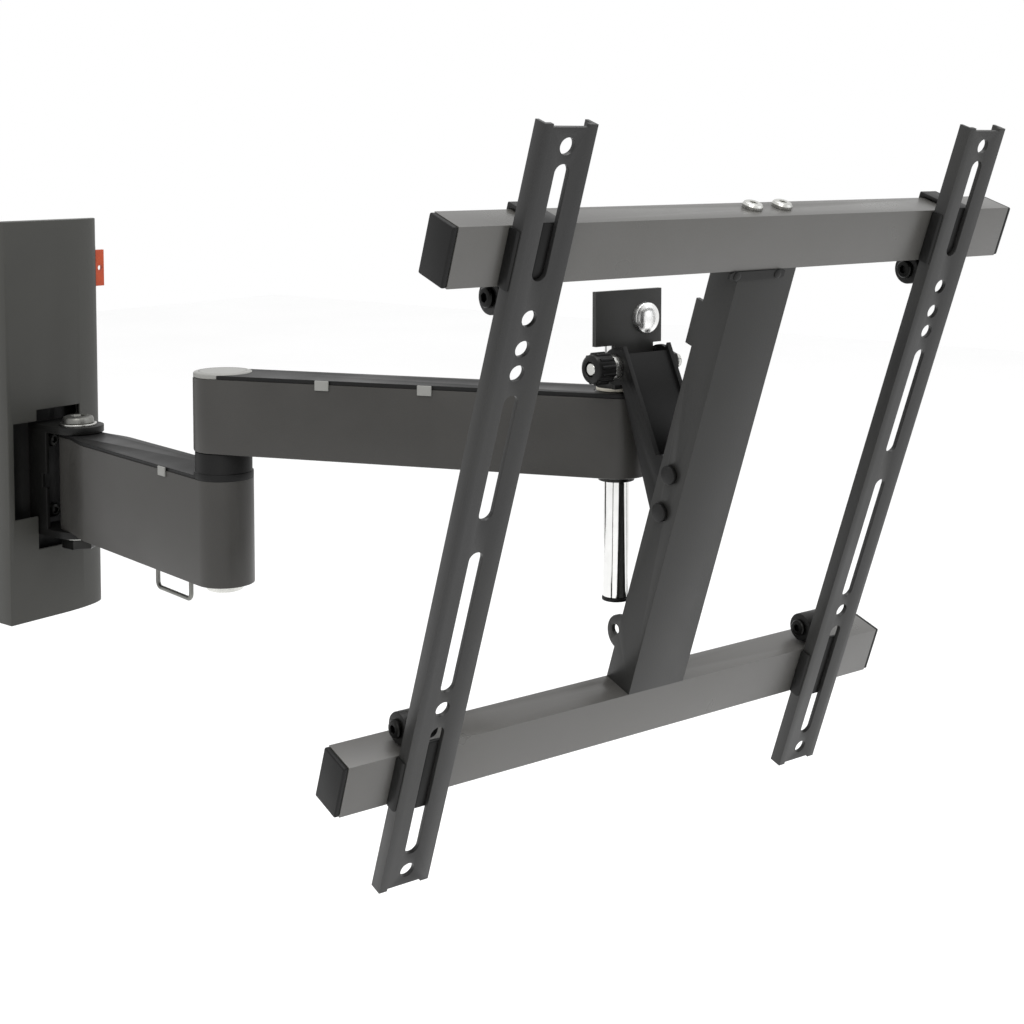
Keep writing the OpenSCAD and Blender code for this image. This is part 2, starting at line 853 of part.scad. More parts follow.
// A hook is a flat inside the strip, a run over the bar and a tail behind it
module hook() {
  translate([hook_x - hook_w / 2, plate_y, bar_out - hook_plate])
    cube([hook_w, hook_t, hook_plate + air + hook_t]);
  translate([hook_x - hook_w / 2, plate_y, bar_out + air])
    cube([hook_w, bar_d + air + hook_t - plate_y, hook_t]);
  translate([hook_x - hook_w / 2, bar_d + air, bar_out - 12])
    cube([hook_w, hook_t, 12 + air + hook_t]);
}
// A jaw closes the hook from the inner edge of the bar, on a screw
module jaw() {
  translate([jaw_x, 0, jaw_z])
    difference() {
      union() {
        translate([0, jaw_y, 0])
          rotate([0, 90, 0])
            cylinder(r = jaw_r, h = jaw_w);
        translate([0, plate_y, -4])
          cube([block_w, jaw_y - plate_y, 8]);
      }
      translate([-1, jaw_y, 0])
        rotate([0, 90, 0])
          cylinder(d = 5 + 2 * seat, h = jaw_w + 2);
    }
}
module lock_screw() {
  translate([jaw_x, jaw_y, jaw_z])
    rotate([0, 90, 0]) {
      disc(2.5, 0, jaw_w);
      disc(5, -3, 0);
    }
}
module rivet_pair() {
  for (dz = [24, 32])
    translate([hook_x, plate_y + hook_t, bar_out - dz])
      rotate([-90, 0, 0])
        disc(3, 0, 1.2);
}
module left_strip() {
  color(paint_grey)
    at_strip(-left_at)
      strip();
}
module left_hooks() {
  color(steel_black)
    at_strip(-left_at)
      both_bars()
        hook();
}
module left_jaws() {
  color("#0e0e0e")
    at_strip(-left_at)
      both_bars()
        jaw();
}
module left_lock_screws() {
  color("#9a9a97")
    at_strip(-left_at)
      both_bars()
        lock_screw();
}
module left_rivets() {
  color("#555552")
    at_strip(-left_at)
      both_bars()
        rivet_pair();
}
module right_strip() {
  color(paint_grey)
    at_strip(right_at)
      strip();
}
module right_hooks() {
  color(steel_black)
    at_strip(right_at)
      both_bars()
        hook();
}
module right_jaws() {
  color("#0e0e0e")
    at_strip(right_at)
      both_bars()
        jaw();
}
module right_lock_screws() {
  color("#9a9a97")
    at_strip(right_at)
      both_bars()
        lock_screw();
}
module right_rivets() {
  color("#555552")
    at_strip(right_at)
      both_bars()
        rivet_pair();
}

wall_back_plate();
wall_cover();
hinge_bracket();
hinge_bracket_bolts();
wall_pivot_bolt();
wall_pivot_nut();
wall_pivot_washers();
level_insert();
level_vial();
lower_arm_beam();
lower_arm_lid();
lower_arm_lid_clips();
lower_arm_bushes();
elbow_pin();
elbow_collar();
elbow_foot_nut();
cable_loop_saddle();
cable_loop();
upper_arm_beam();
upper_arm_lid();
upper_arm_lid_clips();
elbow_bushes();
elbow_top_cap();
post_bushes();
swivel_post();
head_bracket();
stop_disc();
head_thrust_washer();
post_retaining_ring();
post_end_cap();
tilt_bracket();
tilt_bolt();
tilt_nut();
tilt_spacers();
spine_channel();
top_bar();
bottom_bar();
bar_end_caps();
bar_bolts();
bar_nuts();
brace_bolts();
tilt_knob();
left_strip();
left_hooks();
left_jaws();
left_lock_screws();
left_rivets();
right_strip();
right_hooks();
right_jaws();
right_lock_screws();
right_rivets();
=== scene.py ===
# %% [markdown]
# # A full motion television wall mount
# The object is a wall unit, two swinging arms, a swivelling head and a tilting frame with two
# slotted strips. The engineering model gives the place and the size of every piece. This script
# gives the pieces their edges, small details and surfaces, and sets a camera and soft light.

# %% Load the fixed frame
import json
import math

import bmesh
import bpy
from mathutils import Matrix, Vector


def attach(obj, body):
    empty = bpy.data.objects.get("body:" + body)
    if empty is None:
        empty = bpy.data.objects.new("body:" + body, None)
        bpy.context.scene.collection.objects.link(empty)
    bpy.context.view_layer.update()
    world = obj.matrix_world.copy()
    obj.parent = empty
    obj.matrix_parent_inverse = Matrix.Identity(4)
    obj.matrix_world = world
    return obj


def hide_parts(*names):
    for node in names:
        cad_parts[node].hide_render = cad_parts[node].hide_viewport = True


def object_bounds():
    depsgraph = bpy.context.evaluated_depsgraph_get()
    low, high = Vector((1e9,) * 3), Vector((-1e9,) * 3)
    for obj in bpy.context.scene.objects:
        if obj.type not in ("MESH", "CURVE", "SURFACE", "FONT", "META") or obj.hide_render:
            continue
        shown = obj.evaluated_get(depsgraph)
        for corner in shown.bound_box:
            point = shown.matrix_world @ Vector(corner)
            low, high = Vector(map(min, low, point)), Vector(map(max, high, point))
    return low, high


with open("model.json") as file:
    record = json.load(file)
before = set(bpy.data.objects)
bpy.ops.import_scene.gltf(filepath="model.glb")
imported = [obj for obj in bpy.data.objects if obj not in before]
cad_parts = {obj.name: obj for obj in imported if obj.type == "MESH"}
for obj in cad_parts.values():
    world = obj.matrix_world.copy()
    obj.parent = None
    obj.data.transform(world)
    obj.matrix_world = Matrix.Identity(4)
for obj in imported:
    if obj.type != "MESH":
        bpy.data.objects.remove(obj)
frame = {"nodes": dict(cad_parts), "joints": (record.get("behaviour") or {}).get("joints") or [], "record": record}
cad_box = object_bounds()
MM = 0.001

# %% [markdown]
# Every moving body has its own straight, level frame on the drawing board: an arm is drawn along
# its own length, and the television frame is drawn upright. The joints say where those frames sit
# in the finished object, so a piece can be drawn where it is easy and then put in its place. The
# place goes into the mesh and not onto the object, because a pattern on Object coordinates would
# otherwise turn with it.

# %% Local frames from the joints
joints = {j["name"]: j for j in frame["joints"]}


def joint_at(name):
    return Vector(joints[name]["pos_m"])


def turn_about_z(angle):
    return Matrix.Rotation(angle, 4, "Z")


wall_pivot = joint_at("wall_swivel")
wall_pivot.z = 0.0
elbow = joint_at("elbow_swivel")
post_at = joint_at("head_swivel")
tilt_axis = joint_at("frame_tilt")
side = Vector(joints["right_strip_slide"]["axis"])
TILT = math.radians(19)
lower_dir = (elbow - wall_pivot).normalized()
upper_dir = (post_at - elbow).normalized()
to_lower = Matrix.Translation(wall_pivot) @ turn_about_z(math.atan2(lower_dir.y, lower_dir.x))
to_upper = Matrix.Translation(elbow) @ turn_about_z(math.atan2(upper_dir.y, upper_dir.x))
to_head = Matrix.Translation(post_at) @ turn_about_z(math.atan2(side.y, side.x))
to_tilt = (Matrix.Translation(tilt_axis) @ turn_about_z(math.atan2(side.y, side.x))
           @ Matrix.Rotation(TILT, 4, "X"))


def local_box(node, place):
    """Corners of a CAD node in a local frame."""
    back = place.inverted()
    points = [back @ v.co for v in frame["nodes"][node].data.vertices]
    low = Vector([min(p[i] for p in points) for i in range(3)])
    high = Vector([max(p[i] for p in points) for i in range(3)])
    return low, high


bar_low, bar_high = local_box("top_bar", to_tilt)
bottom_low = local_box("bottom_bar", to_tilt)[0]
frame_mid = Vector(((bar_low.x + bar_high.x) / 2, bar_low.y, (bar_high.z + bottom_low.z) / 2))
to_frame = to_tilt @ Matrix.Translation(frame_mid)
print("arm lengths in mm:", round((elbow - wall_pivot).length / MM, 1),
      round((post_at - elbow).length / MM, 1))

# %% [markdown]
# ## Surfaces
# A material here is named for what it really is. Its colours are screen colours, so one function
# turns them to the linear values that the shader needs. Another small function adds a shader
# node with its settings and links, and every material is built from those two.

# %% Colour and node helpers
def linear(hex_colour):
    """A screen colour such as #4c4b48 as linear red, green, blue and alpha."""
    values = [int(hex_colour[i:i + 2], 16) / 255 for i in (1, 3, 5)]
    turned = [v / 12.92 if v <= 0.04045 else ((v + 0.055) / 1.055) ** 2.4 for v in values]
    return (*turned, 1.0)


def add(tree, kind, settings=None, **links):
    """Adds a node. settings are its own values; links are sockets or constants by input name."""
    node = tree.nodes.new(kind)
    for key, value in (settings or {}).items():
        setattr(node, key, value)
    for key, value in links.items():
        name = key.replace("_", " ")
        socket = node.inputs[int(name[3:])] if name.startswith("no ") else node.inputs[name]
        if isinstance(value, bpy.types.NodeSocket):
            tree.links.new(value, socket)
        else:
            socket.default_value = value
    return node


def new_material(name):
    material = bpy.data.materials.new(name)
    material.use_nodes = True
    tree = material.node_tree
    tree.nodes.clear()
    shader = add(tree, "ShaderNodeBsdfPrincipled")
    out = add(tree, "ShaderNodeOutputMaterial")
    tree.links.new(shader.outputs["BSDF"], out.inputs["Surface"])
    return material, tree, shader


def object_point(tree, scale=(1, 1, 1)):
    """The surface point in metres, stretched by scale."""
    place = add(tree, "ShaderNodeTexCoord").outputs["Object"]
    return add(tree, "ShaderNodeMapping", Vector=place, Scale=scale).outputs["Vector"]


def ramp(tree, factor, stops):
    """A colour ramp with (position, colour) stops."""
    node = add(tree, "ShaderNodeValToRGB", Fac=factor)
    elements = node.color_ramp.elements
    elements[0].position, elements[0].color = stops[0]
    elements[1].position, elements[1].color = stops[-1]
    for position, colour in stops[1:-1]:
        elements.new(position).color = colour
    return node.outputs["Color"]


# %% [markdown]
# Powder coat is a dry paint that is baked on steel. It flows into a skin with a very fine orange
# peel, so its gloss is soft and slightly broken. Noise of about a millimetre makes the peel. A
# slow noise of several centimetres shifts the grey a little and makes the roughness uneven, as
# handling does. The real peel is near 0.5 mm; here it is 0.9 mm so that it shows.

# %% Powder coat, moulded plastic and rubber-like plastic
def grained(name, dark, light, roughness, grain_mm, bump, patch_mm=60, spread=0.08, shine=0.3):
    """A dielectric surface: slow colour patches, fine grain in the bump and uneven roughness."""
    material, tree, shader = new_material(name)
    shader.inputs["Specular IOR Level"].default_value = shine
    point = object_point(tree)
    patch = add(tree, "ShaderNodeTexNoise", Vector=point, Scale=1 / (patch_mm * MM), Detail=4.0)
    grain = add(tree, "ShaderNodeTexNoise", Vector=point, Scale=1 / (grain_mm * MM), Detail=2.0)
    colour = ramp(tree, patch.outputs["Fac"], [(0.35, linear(dark)), (0.65, linear(light))])
    tree.links.new(colour, shader.inputs["Base Color"])
    rough = add(tree, "ShaderNodeMapRange", Value=patch.outputs["Fac"], From_Min=0.3, From_Max=0.7,
                To_Min=roughness - spread, To_Max=roughness + spread)
    tree.links.new(rough.outputs["Result"], shader.inputs["Roughness"])
    relief = add(tree, "ShaderNodeBump", Height=grain.outputs["Fac"], Strength=bump,
                 Distance=0.15 * MM)
    tree.links.new(relief.outputs["Normal"], shader.inputs["Normal"])
    return material


coat_grey = grained("powder_coat_charcoal_satin", "#343331", "#3a3937", 0.42, 0.9, 0.35)
coat_bar = grained("powder_coat_charcoal_bars", "#454441", "#4b4a48", 0.34, 0.9, 0.35, shine=0.7)
coat_black = grained("powder_coat_black_satin", "#0a0a0a", "#10100f", 0.45, 0.9, 0.35, shine=0.2)
cover_abs = grained("abs_moulded_charcoal", "#333330", "#383835", 0.50, 0.6, 0.5, patch_mm=90)
black_abs = grained("abs_moulded_black", "#0b0b0b", "#111111", 0.5, 0.5, 0.4, shine=0.2)
nylon_black = grained("nylon_moulded_black", "#080808", "#0f0f0e", 0.42, 0.7, 0.3, shine=0.25)
clip_abs = grained("abs_moulded_light_grey", "#7d7d7a", "#888885", 0.40, 0.5, 0.3)
orange_abs = grained("abs_moulded_orange_red", "#a03c1e", "#ad4826", 0.40, 0.6, 0.3, patch_mm=12)
acetal = grained("acetal_turned_natural", "#d6d1c2", "#e0dccf", 0.35, 0.4, 0.2)
print("painted and moulded materials:", len(bpy.data.materials))

# %% [markdown]
# Zinc plate is a thin bright metal skin over steel with faint drawing lines. Chrome is the same
# idea with a mirror finish. Black oxide is a conversion layer that leaves the steel dark and a
# little oily. All of them are metals, so they keep the default index of refraction.

# %% Metals
def plated(name, dark, light, roughness, line_mm, bump, stretch=(1, 1, 0.05)):
    """A metal whose fine lines run along Z of the object, with uneven roughness."""
    material, tree, shader = new_material(name)
    shader.inputs["Metallic"].default_value = 1.0
    lines = add(tree, "ShaderNodeTexNoise", Vector=object_point(tree, stretch),
                Scale=1 / (line_mm * MM), Detail=3.0)
    bloom = add(tree, "ShaderNodeTexNoise", Vector=object_point(tree), Scale=1 / (14 * MM),
                Detail=5.0)
    colour = ramp(tree, bloom.outputs["Fac"], [(0.3, linear(dark)), (0.7, linear(light))])
    tree.links.new(colour, shader.inputs["Base Color"])
    rough = add(tree, "ShaderNodeMapRange", Value=lines.outputs["Fac"], From_Min=0.3, From_Max=0.7,
                To_Min=roughness * 0.75, To_Max=roughness * 1.3)
    tree.links.new(rough.outputs["Result"], shader.inputs["Roughness"])
    relief = add(tree, "ShaderNodeBump", Height=lines.outputs["Fac"], Strength=bump,
                 Distance=0.05 * MM)
    tree.links.new(relief.outputs["Normal"], shader.inputs["Normal"])
    return material


zinc = plated("steel_zinc_plated", "#b4b4b0", "#d2d2ce", 0.27, 0.5, 0.25)
chrome = plated("steel_chrome_plated", "#dededc", "#efefee", 0.09, 0.6, 0.05)
oxide = plated("steel_black_oxide", "#262625", "#353534", 0.36, 0.5, 0.25)
bright = plated("steel_nickel_plated", "#e4e4e2", "#f4f4f3", 0.26, 0.5, 0.15)
zinc_dark = plated("steel_zinc_black_passivated", "#1a1a1a", "#262625", 0.36, 0.5, 0.25)
zinc_dull = plated("steel_zinc_dull_grey", "#6c6c69", "#80807c", 0.40, 0.5, 0.25)

# %% Level fluid
vial_green, vial_tree, vial_shader = new_material("acrylic_vial_green")
swirl = add(vial_tree, "ShaderNodeTexNoise", Vector=object_point(vial_tree), Scale=1 / (2 * MM))
vial_tree.links.new(ramp(vial_tree, swirl.outputs["Fac"],
                         [(0.3, linear("#a9c93a")), (0.7, linear("#c5e25c"))]),
                    vial_shader.inputs["Base Color"])
vial_shader.inputs["Roughness"].default_value = 0.08
vial_shader.inputs["IOR"].default_value = 1.49
vial_shader.inputs["Coat Weight"].default_value = 0.5

SLOT_MATERIAL = {
    "powder_coat_grey": coat_grey, "powder_coat_black": coat_black, "cover_plastic": cover_abs,
    "black_plastic": black_abs, "orange_plastic": orange_abs, "vial_green": vial_green,
    "zinc_steel": zinc, "dark_steel": oxide, "chrome_tube": chrome, "bush_plastic": acetal,
    "grey_clip": clip_abs,
}
node_slot = {s["node"]: s["material_slot"] for s in frame["record"]["subparts"]}
node_body = {n: b for b, ns in frame["record"]["behaviour"]["bodies"].items() for n in ns}
print("slots with a material:", len(SLOT_MATERIAL))

# %% [markdown]
# ## Soft edges
# Nothing that is cut, folded or moulded has a perfectly sharp edge, and the thin bright line on
# an edge is what makes a piece look real. Each CAD solid arrives as loose triangles. A copy of it
# is merged, its flat faces are joined up again, and a Bevel modifier rounds the edges that are
# sharp. The copy then stands for the CAD node, whose own mesh is left alone.

# %% Edge rounding for a CAD copy
SHARP_OVER = math.radians(32)


def softened(node, width_mm, segments=2, sharp=28, material=None):
    """A copy of a CAD node with rounded edges, in the same place."""
    source = frame["nodes"][node]
    mesh = bpy.data.meshes.new(node + "_finished")
    shape = bmesh.new()
    shape.from_mesh(source.data)
    bmesh.ops.remove_doubles(shape, verts=shape.verts, dist=0.002 * MM)
    bmesh.ops.dissolve_limit(shape, angle_limit=math.radians(0.6), verts=shape.verts,
                             edges=shape.edges)
    shape.to_mesh(mesh)
    shape.free()
    piece = bpy.data.objects.new(mesh.name, mesh)
    bpy.context.scene.collection.objects.link(piece)
    bevel = piece.modifiers.new("edge", "BEVEL")
    bevel.width = width_mm * MM
    bevel.segments = segments
    bevel.limit_method = "ANGLE"
    bevel.angle_limit = math.radians(sharp)
    bevel.use_clamp_overlap = True
    baked = bake(piece)
    return settle(baked, node_body[node], material or SLOT_MATERIAL[node_slot[node]],
                  [node])


def bake(piece):
    """Turns an object with modifiers into a plain mesh object at the origin."""
    bpy.context.view_layer.update()
    graph = bpy.context.evaluated_depsgraph_get()
    evaluated = piece.evaluated_get(graph)
    mesh = bpy.data.meshes.new_from_object(evaluated, depsgraph=graph)
    mesh.transform(piece.matrix_world)
    name = piece.name
    bpy.data.objects.remove(piece)
    mesh.name = name
    done = bpy.data.objects.new(name, mesh)
    bpy.context.scene.collection.objects.link(done)
    return done


def settle(piece, body, material, nodes=()):
    """Shades a finished piece, gives it its material and hands it to its body."""
    mesh = piece.data
    mesh.materials.clear()
    mesh.materials.append(material)
    for polygon in mesh.polygons:
        polygon.use_smooth = True
        polygon.material_index = 0
    mesh.set_sharp_from_angle(angle=SHARP_OVER)
    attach(piece, body)
    if nodes:
        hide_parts(*nodes)
    return piece


# %% Camera
CAMERA_AT = Vector((-0.7569, -1.0289, 0.1962))
LOOKS_ALONG = math.radians(-51.8)
PITCH = math.radians(4)
LENS, RISE = 59.7, -0.24
camera_data = bpy.data.cameras.new("camera")
camera_data.sensor_width = 36.0
camera_data.lens = LENS
camera_data.shift_y = RISE
camera_data.dof.use_dof = False
camera = bpy.data.objects.new("camera", camera_data)
bpy.context.scene.collection.objects.link(camera)
camera.location = CAMERA_AT
camera.rotation_euler = (math.radians(90) - PITCH, 0, LOOKS_ALONG)
bpy.context.scene.camera = camera

# %% Light and floor
def area_light(name, at, target, size, power, colour):
    data = bpy.data.lights.new(name, "AREA")
    data.shape = "DISK"
    data.size = size
    data.energy = power
    data.color = linear(colour)[:3]
    light = bpy.data.objects.new(name, data)
    bpy.context.scene.collection.objects.link(light)
    light.location = at
    light.rotation_euler = (Vector(target) - Vector(at)).to_track_quat("-Z", "Y").to_euler()
    return light


middle = (Vector(cad_box[0]) + Vector(cad_box[1])) / 2
area_light("key", (-1.9, -1.5, 1.9), middle, 1.6, 20, "#fffdf9")
area_light("fill", (1.2, -2.4, 0.9), middle, 2.0, 6, "#f7faff")
area_light("top", (0.1, -0.3, 2.2), middle, 1.8, 26, "#ffffff")
world = bpy.data.worlds.new("studio")
bpy.context.scene.world = world
world.use_nodes = True
world.node_tree.nodes["Background"].inputs["Color"].default_value = linear("#ffffff")
world.node_tree.nodes["Background"].inputs["Strength"].default_value = 1.0
floor_mesh = bpy.data.meshes.new("floor")
FLOOR_DROP, half = 0.45, 6.0
floor_z = cad_box[0][2] - FLOOR_DROP
floor_mesh.from_pydata([(-half, -half, floor_z), (half, -half, floor_z), (half, half, floor_z),
                        (-half, half, floor_z)], [], [(0, 1, 2, 3)])
floor = bpy.data.objects.new("floor", floor_mesh)
bpy.context.scene.collection.objects.link(floor)
floor_mesh.materials.append(grained("paper_matt_white", "#fbfbfb", "#fdfdfd", 0.95, 3, 0.02,
                                    patch_mm=900, spread=0.02))

# %% [markdown]
# ## Pieces that repeat or follow a path
# A thread is a helix with a small round profile, grip ridges are one rod copied round a circle,
# and ribs are one bar copied along a line. Geometry Nodes describe each of these once, with the
# sizes as inputs. The result is turned into a plain mesh, so that nothing is left to instance.

# %% Geometry Nodes helpers
def new_tree(name, inputs):
    """A node tree that makes geometry, with named number inputs."""
    tree = bpy.data.node_groups.new(name, "GeometryNodeTree")
    for label, kind in inputs:
        tree.interface.new_socket(label, in_out="INPUT", socket_type=kind)
    tree.interface.new_socket("Geometry", in_out="OUTPUT", socket_type="NodeSocketGeometry")
    return tree, tree.nodes.new("NodeGroupInput"), tree.nodes.new("NodeGroupOutput")


def close_tree(tree, out, geometry):
    """Ends a tree in Realize Instances and Set Material."""
    real = add(tree, "GeometryNodeRealizeInstances", Geometry=geometry)
    painted = add(tree, "GeometryNodeSetMaterial", Geometry=real.outputs["Geometry"])
    tree.links.new(painted.outputs["Geometry"], out.inputs["Geometry"])


def grown(name, tree, values, place, material):
    """Runs a tree with the given input values and returns a plain mesh object in its place."""
    holder = bpy.data.objects.new(name, bpy.data.meshes.new(name))
    bpy.context.scene.collection.objects.link(holder)
    for node in tree.nodes:
        if node.bl_idname == "GeometryNodeSetMaterial":
            node.inputs["Material"].default_value = material
    modifier = holder.modifiers.new("made", "NODES")
    modifier.node_group = tree
    for item in tree.interface.items_tree:
        if item.in_out == "INPUT" and item.name in values:
            modifier[item.identifier] = values[item.name]
    made = bake(holder)
    made.data.transform(place)
    return made


FLOAT, WHOLE = "NodeSocketFloat", "NodeSocketInt"

# %% The thread tree: a helix swept with a small round profile
thread_tree, given, out = new_tree("thread", [("Radius", FLOAT), ("Turns", FLOAT),
                                              ("Length", FLOAT), ("Ridge", FLOAT)])
helix = add(thread_tree, "GeometryNodeCurveSpiral", Resolution=20,
            Rotations=given.outputs["Turns"], Start_Radius=given.outputs["Radius"],
            End_Radius=given.outputs["Radius"], Height=given.outputs["Length"])
ridge = add(thread_tree, "GeometryNodeCurvePrimitiveCircle", Resolution=6,
            Radius=given.outputs["Ridge"])
swept = add(thread_tree, "GeometryNodeCurveToMesh", Curve=helix.outputs["Curve"],
            Profile_Curve=ridge.outputs["Curve"])
swept.inputs["Fill Caps"].default_value = True
close_tree(thread_tree, out, swept.outputs["Mesh"])

# %% The ridge tree: rods round a circle
ridge_tree, given, out = new_tree("grip_ridges", [("Count", WHOLE), ("Circle", FLOAT),
                                                  ("Length", FLOAT), ("Rod", FLOAT)])
circle = add(ridge_tree, "GeometryNodeMeshCircle", Vertices=given.outputs["Count"],
             Radius=given.outputs["Circle"])
rod = add(ridge_tree, "GeometryNodeMeshCylinder", Vertices=10, Radius=given.outputs["Rod"],
          Depth=given.outputs["Length"])
copies = add(ridge_tree, "GeometryNodeInstanceOnPoints", Points=circle.outputs["Mesh"],
             Instance=rod.outputs["Mesh"])
close_tree(ridge_tree, out, copies.outputs["Instances"])

# %% The rib tree: bars along a line
rib_tree, given, out = new_tree("ribs", [("Count", WHOLE), ("Pitch", FLOAT), ("Across", FLOAT),
                                         ("Rod", FLOAT)])
step = add(rib_tree, "ShaderNodeCombineXYZ", X=given.outputs["Pitch"])
line = add(rib_tree, "GeometryNodeMeshLine", Count=given.outputs["Count"],
           Offset=step.outputs["Vector"])
bar = add(rib_tree, "GeometryNodeMeshCylinder", Vertices=10, Radius=given.outputs["Rod"],
          Depth=given.outputs["Across"])
laid = add(rib_tree, "GeometryNodeInstanceOnPoints", Points=line.outputs["Mesh"],
           Instance=bar.outputs["Mesh"])
laid.inputs["Rotation"].default_value = (math.radians(90), 0, 0)
close_tree(rib_tree, out, laid.outputs["Instances"])
print("trees:", len(bpy.data.node_groups))

# %% [markdown]
# Bolt heads, nuts and caps are turned on a lathe or pressed in a round die, so they are drawn as
# a half outline that goes round. A ring of the outline can also be a hexagon, and that gives a
# socket or a nut without cutting anything.

# %% Turned pieces
def hexagon(across):
    """A radius that goes round as a hexagon that measures across mm over its flats."""
    def radius(angle):
        return across / 2 / math.cos((angle + math.pi / 6) % (math.pi / 3) - math.pi / 6)
    return radius


def turned(name, rings, place, turns=48, bored=False):
    """Joins rings of (radius or hexagon, height) in mm, closed at both ends or bored through."""
    shape = bmesh.new()
    loops = []
    for radius, height in rings:
        loop = []
        for k in range(turns):
            angle = 2 * math.pi * k / turns
            r = radius(angle) if callable(radius) else radius
            loop.append(shape.verts.new((r * math.cos(angle) * MM, r * math.sin(angle) * MM,
                                         height * MM)))
        loops.append(loop)
    for low, high in zip(loops, loops[1:] + loops[:1] if bored else loops[1:]):
        for k in range(turns):
            m = (k + 1) % turns
            shape.faces.new((low[k], low[m], high[m], high[k]))
    if not bored:
        shape.faces.new(list(reversed(loops[0])))
        shape.faces.new(loops[-1])
    bmesh.ops.recalc_face_normals(shape, faces=shape.faces)
    mesh = bpy.data.meshes.new(name)
    shape.to_mesh(mesh)
    shape.free()
    mesh.transform(place)
    piece = bpy.data.objects.new(name, mesh)
    bpy.context.scene.collection.objects.link(piece)
    return piece


def joined(name, parts):
    """Joins several mesh objects at the origin into one."""
    shape = bmesh.new()
    for part in parts:
        shape.from_mesh(part.data)
        bpy.data.objects.remove(part)
    mesh = bpy.data.meshes.new(name)
    shape.to_mesh(mesh)
    shape.free()
    piece = bpy.data.objects.new(name, mesh)
    bpy.context.scene.collection.objects.link(piece)
    return piece


def at(place, point_mm, axis="Z"):
    """A place moved to a point in mm, with its Z turned along a local axis."""
    turn = {"Z": Matrix.Identity(4), "-Z": Matrix.Rotation(math.pi, 4, "X"),
            "X": Matrix.Rotation(math.pi / 2, 4, "Y"), "-X": Matrix.Rotation(-math.pi / 2, 4, "Y"),
            "-Y": Matrix.Rotation(math.pi / 2, 4, "X"),
            "Y": Matrix.Rotation(-math.pi / 2, 4, "X")}[axis]
    return place @ Matrix.Translation(Vector(point_mm) * MM) @ turn


def middle_of(node, place):
    low, high = local_box(node, place)
    return (low + high) / 2 / MM, (high - low) / MM


IDENTITY = Matrix.Identity(4)
COARSE, FINE = 1.25, 0.8
RIDGE_R, RIDGE_SUNK = 0.35, 0.2


def thread(name, radius, length, place, pitch=COARSE):
    """A thread of one length along the place's Z, in mm. The ridge stands 0.15 mm proud."""
    return grown(name, thread_tree, {"Radius": (radius - RIDGE_SUNK) * MM, "Turns": length / pitch,
                                     "Length": length * MM, "Ridge": RIDGE_R * MM}, place, zinc)


# %% [markdown]
# ## The wall unit
# A steel plate carries the hinge bracket, and a moulded cover snaps over both. The cover is flat
# on one side and falls away to the wall in a long curve on the other. The walls are thin, so the
# edges of all these pieces get a narrow rounding of 0.3 to 0.7 mm.

# %% Wall unit
softened("wall_cover", 0.7, 2, sharp=35)
softened("wall_back_plate", 0.5)
softened("hinge_bracket", 0.7, 2, sharp=40)
softened("wall_pivot_washers", 0.3)
print("cover size in mm:", [round(v, 1) for v in middle_of("wall_cover", IDENTITY)[1]])

# %% Wall pivot bolt, its nut and the bracket screws
pin_mid, pin_size = middle_of("wall_pivot_bolt", IDENTITY)
pin_top = pin_mid.z + pin_size.z / 2
pin_low = pin_mid.z - pin_size.z / 2
pivot_xy = (wall_pivot.x / MM, wall_pivot.y / MM)
bolt = turned("bolt", [(5.6, pin_low), (7, pin_low + 1.2), (7, pin_top - 5), (10.4, pin_top - 5),
                       (11, pin_top - 4.5), (11, pin_top - 2), (10.3, pin_top - 0.7),
                       (8.6, pin_top), (hexagon(9), pin_top), (hexagon(8.4), pin_top - 0.5),
                       (hexagon(8), pin_top - 3.5)], at(IDENTITY, (*pivot_xy, 0)))
winding = thread("winding", 7, 8.4, at(IDENTITY, (*pivot_xy, pin_low + 0.8)))
settle(joined("wall_pivot_bolt_finished", [bolt, winding]), "wall_unit", zinc_dull,
       ["wall_pivot_bolt"])
nut_mid, nut_size = middle_of("wall_pivot_nut", IDENTITY)
nut_low = nut_mid.z - nut_size.z / 2
nut_top = nut_mid.z + nut_size.z / 2
settle(turned("wall_pivot_nut_finished",
              [(hexagon(20.5), nut_low), (hexagon(22), nut_low + 0.8), (hexagon(22), nut_top - 0.8),
               (hexagon(20.5), nut_top), (7.3, nut_top), (7.05, nut_low + 0.4), (7.6, nut_low)],
              at(IDENTITY, (*pivot_xy, 0)), bored=True),
       "wall_unit", oxide, ["wall_pivot_nut"])
screws = []
screw_mid, screw_size = middle_of("hinge_bracket_bolts", IDENTITY)
face_y = screw_mid.y - screw_size.y / 2
for side_z in (-1, 1):
    z = screw_mid.z + side_z * (screw_size.z - 10) / 2
    screws.append(turned("screw", [(2.6, -8.4), (3, -8), (3, -3), (4.8, -3), (5, -2.7), (5, -1.4),
                                   (4.3, -0.4), (3.2, 0), (hexagon(4.4), 0), (hexagon(4), -0.3),
                                   (hexagon(4), -2)], at(IDENTITY, (0, face_y, z), "-Y")))
settle(joined("hinge_bracket_screws_finished", screws), "wall_unit", oxide,
       ["hinge_bracket_bolts"])

# %% [markdown]
# The level is a bright tongue that slides out of the side of the wall unit. Its green tube has
# two black lines for a bubble to rest between. The bubble itself isn't drawn.

